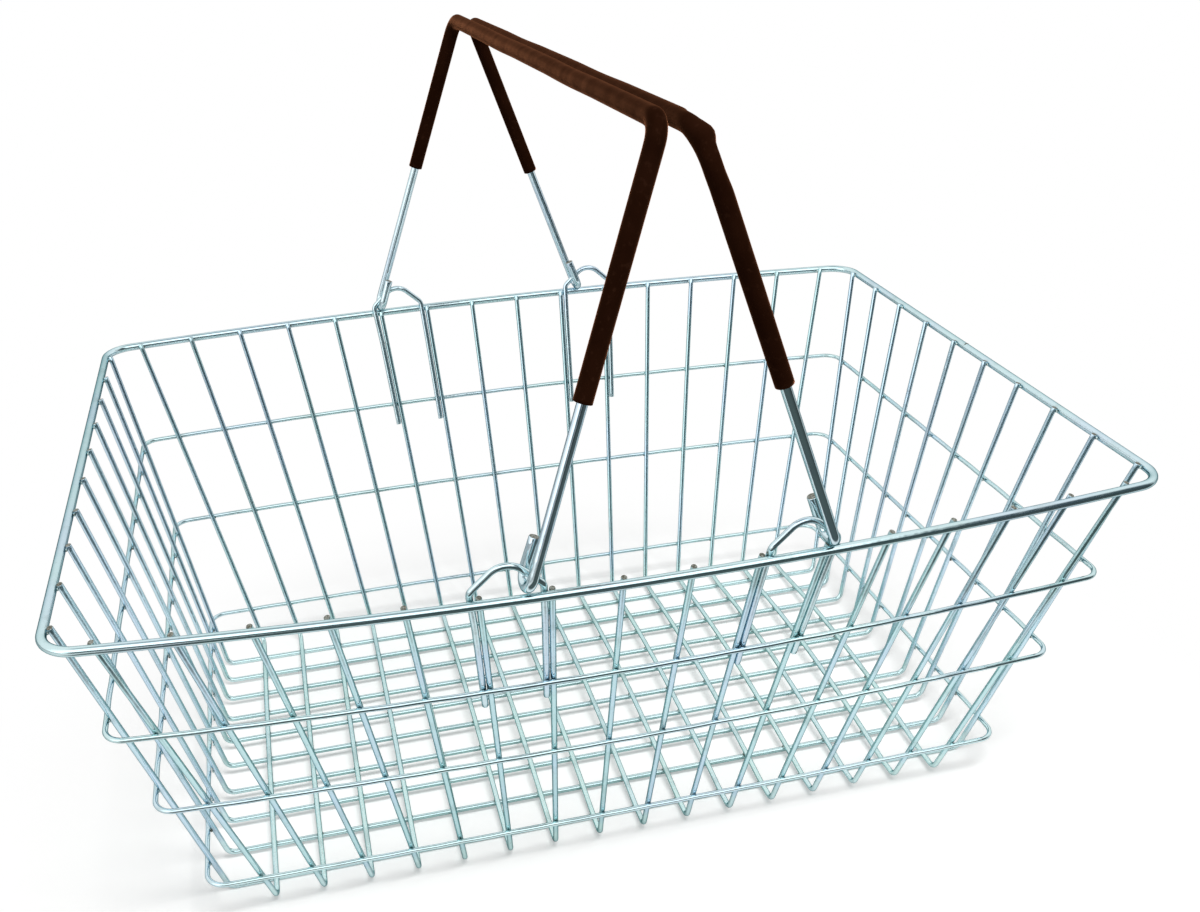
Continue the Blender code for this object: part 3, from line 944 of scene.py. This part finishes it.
# Painted light: near the basket the sheet glows faintly for reflections only, outside the painted
# shade.
painted_glow = paper_finish.blend(painted_unlit_floor, SHEET_PAINTED_GLOW, BLACK)
painted_glow = paper_finish.blend(painted_shade_below, painted_glow, BLACK)
painted_glow = paper_finish.blend(mirrored, BLACK, painted_glow)
paper_finish.shade({
    "Base Color": paper_finish.blend(past_shadow, sheet_with_painted_shade, BLACK),
    "Roughness": 0.9,
    "Specular IOR Level": 0.0,
    "Emission Color": paper_finish.blend(seen, painted_glow, glow),
    "Emission Strength": 1.0,
})
table_data.materials.append(paper)


# Light: one broad soft lamp above and in front of the basket, in a pale room.
# The wires mirror white all round, a brighter wall in front, a grey ceiling over them, and a darker
# room beneath that wall and on its right.
LAMP_WIDTH = 0.80
LAMP_DEPTH = 0.42
LAMP_PLACE = Vector((0.12, -0.66, 1.42))
LAMP_WATTS = 20.0
ROOM_LEVEL = (0.30, 0.30, 0.30, 1)
CEILING = (0.36, 0.41, 0.44, 1)
FRONT_WALL = (1.65, 1.67, 1.69, 1)
DARK_ROOM = (0.065, 0.09, 0.10, 1)
FRONTWARD_FROM = (-0.1, 0.5)
CEILING_FROM = (0.88, 0.98)
WALL_FROM = (0.30, 0.46)
DARK_LEFT_END = (-0.80, -0.45)
DARK_RIGHT_SIDE = (0.42, 0.58)
lamp_data = bpy.data.lights.new("soft_lamp", "AREA")
lamp_data.shape = "RECTANGLE"
lamp_data.size = LAMP_WIDTH
lamp_data.size_y = LAMP_DEPTH
lamp_data.energy = LAMP_WATTS
lamp = bpy.data.objects.new("soft_lamp", lamp_data)
lamp.location = LAMP_PLACE
lamp.rotation_euler = (-LAMP_PLACE).to_track_quat("-Z", "Y").to_euler()
lamp.visible_glossy = False
bpy.context.scene.collection.objects.link(lamp)
world = bpy.data.worlds.new("pale_room")
bpy.context.scene.world = world
room = Finish(world)
looking = room.node("TexCoord", output="Generated")
upward, rightward = room.along(looking, "Z"), room.along(looking, "X")
frontward = room.between(0.0 - room.along(looking, "Y"), *FRONTWARD_FROM)
below_wall = frontward * (1.0 - room.between(upward, *WALL_FROM))
below_wall = below_wall * room.between(rightward, *DARK_LEFT_END)
dark_side = frontward * room.between(rightward, *DARK_RIGHT_SIDE)
mirror_view = room.blend(frontward, WHITE, FRONT_WALL)
mirror_view = room.blend(room.between(upward, *CEILING_FROM), mirror_view, CEILING)
mirror_view = room.blend(below_wall, mirror_view, DARK_ROOM)
mirror_view = room.blend(dark_side, mirror_view, DARK_ROOM)
camera_ray = room.node("LightPath", output="Is Camera Ray")
glossy_ray = room.node("LightPath", output="Is Glossy Ray")
colour = room.blend(glossy_ray, ROOM_LEVEL, mirror_view)
colour = room.blend(camera_ray, colour, WHITE)
room.fill(world.node_tree.nodes["Background"], {"Color": colour, "Strength": 1.0})


# Camera: above the front of the basket and a little to its left, looking down into it.
# The photograph's middle is not the middle of its lens, so the lens is shifted.
CAMERA_PLACE = Vector((-0.12391, -0.56237, 0.43562))
CAMERA_RIGHT = Vector((0.97267, -0.22922, -0.03707))
CAMERA_DOWN = Vector((-0.13712, -0.43819, -0.88836))
CAMERA_LENS = 37.757
IMAGE_WIDTH = 1200
CENTRE_LEFT_OF_MIDDLE = 44.4
CENTRE_BELOW_MIDDLE = 29.53
camera_data = bpy.data.cameras.new("camera")
camera_data.sensor_width = 36
camera_data.lens = CAMERA_LENS
camera_data.shift_x = CENTRE_LEFT_OF_MIDDLE / IMAGE_WIDTH
camera_data.shift_y = CENTRE_BELOW_MIDDLE / IMAGE_WIDTH
camera_data.clip_start = 0.01
camera = bpy.data.objects.new("camera", camera_data)
backwards = CAMERA_DOWN.cross(CAMERA_RIGHT)
camera.matrix_world = Matrix.Translation(CAMERA_PLACE) @ Matrix(
    (CAMERA_RIGHT, -CAMERA_DOWN, backwards)
).transposed().to_4x4()
bpy.context.scene.collection.objects.link(camera)
bpy.context.scene.camera = camera
bpy.context.scene.view_settings.view_transform = "Standard"
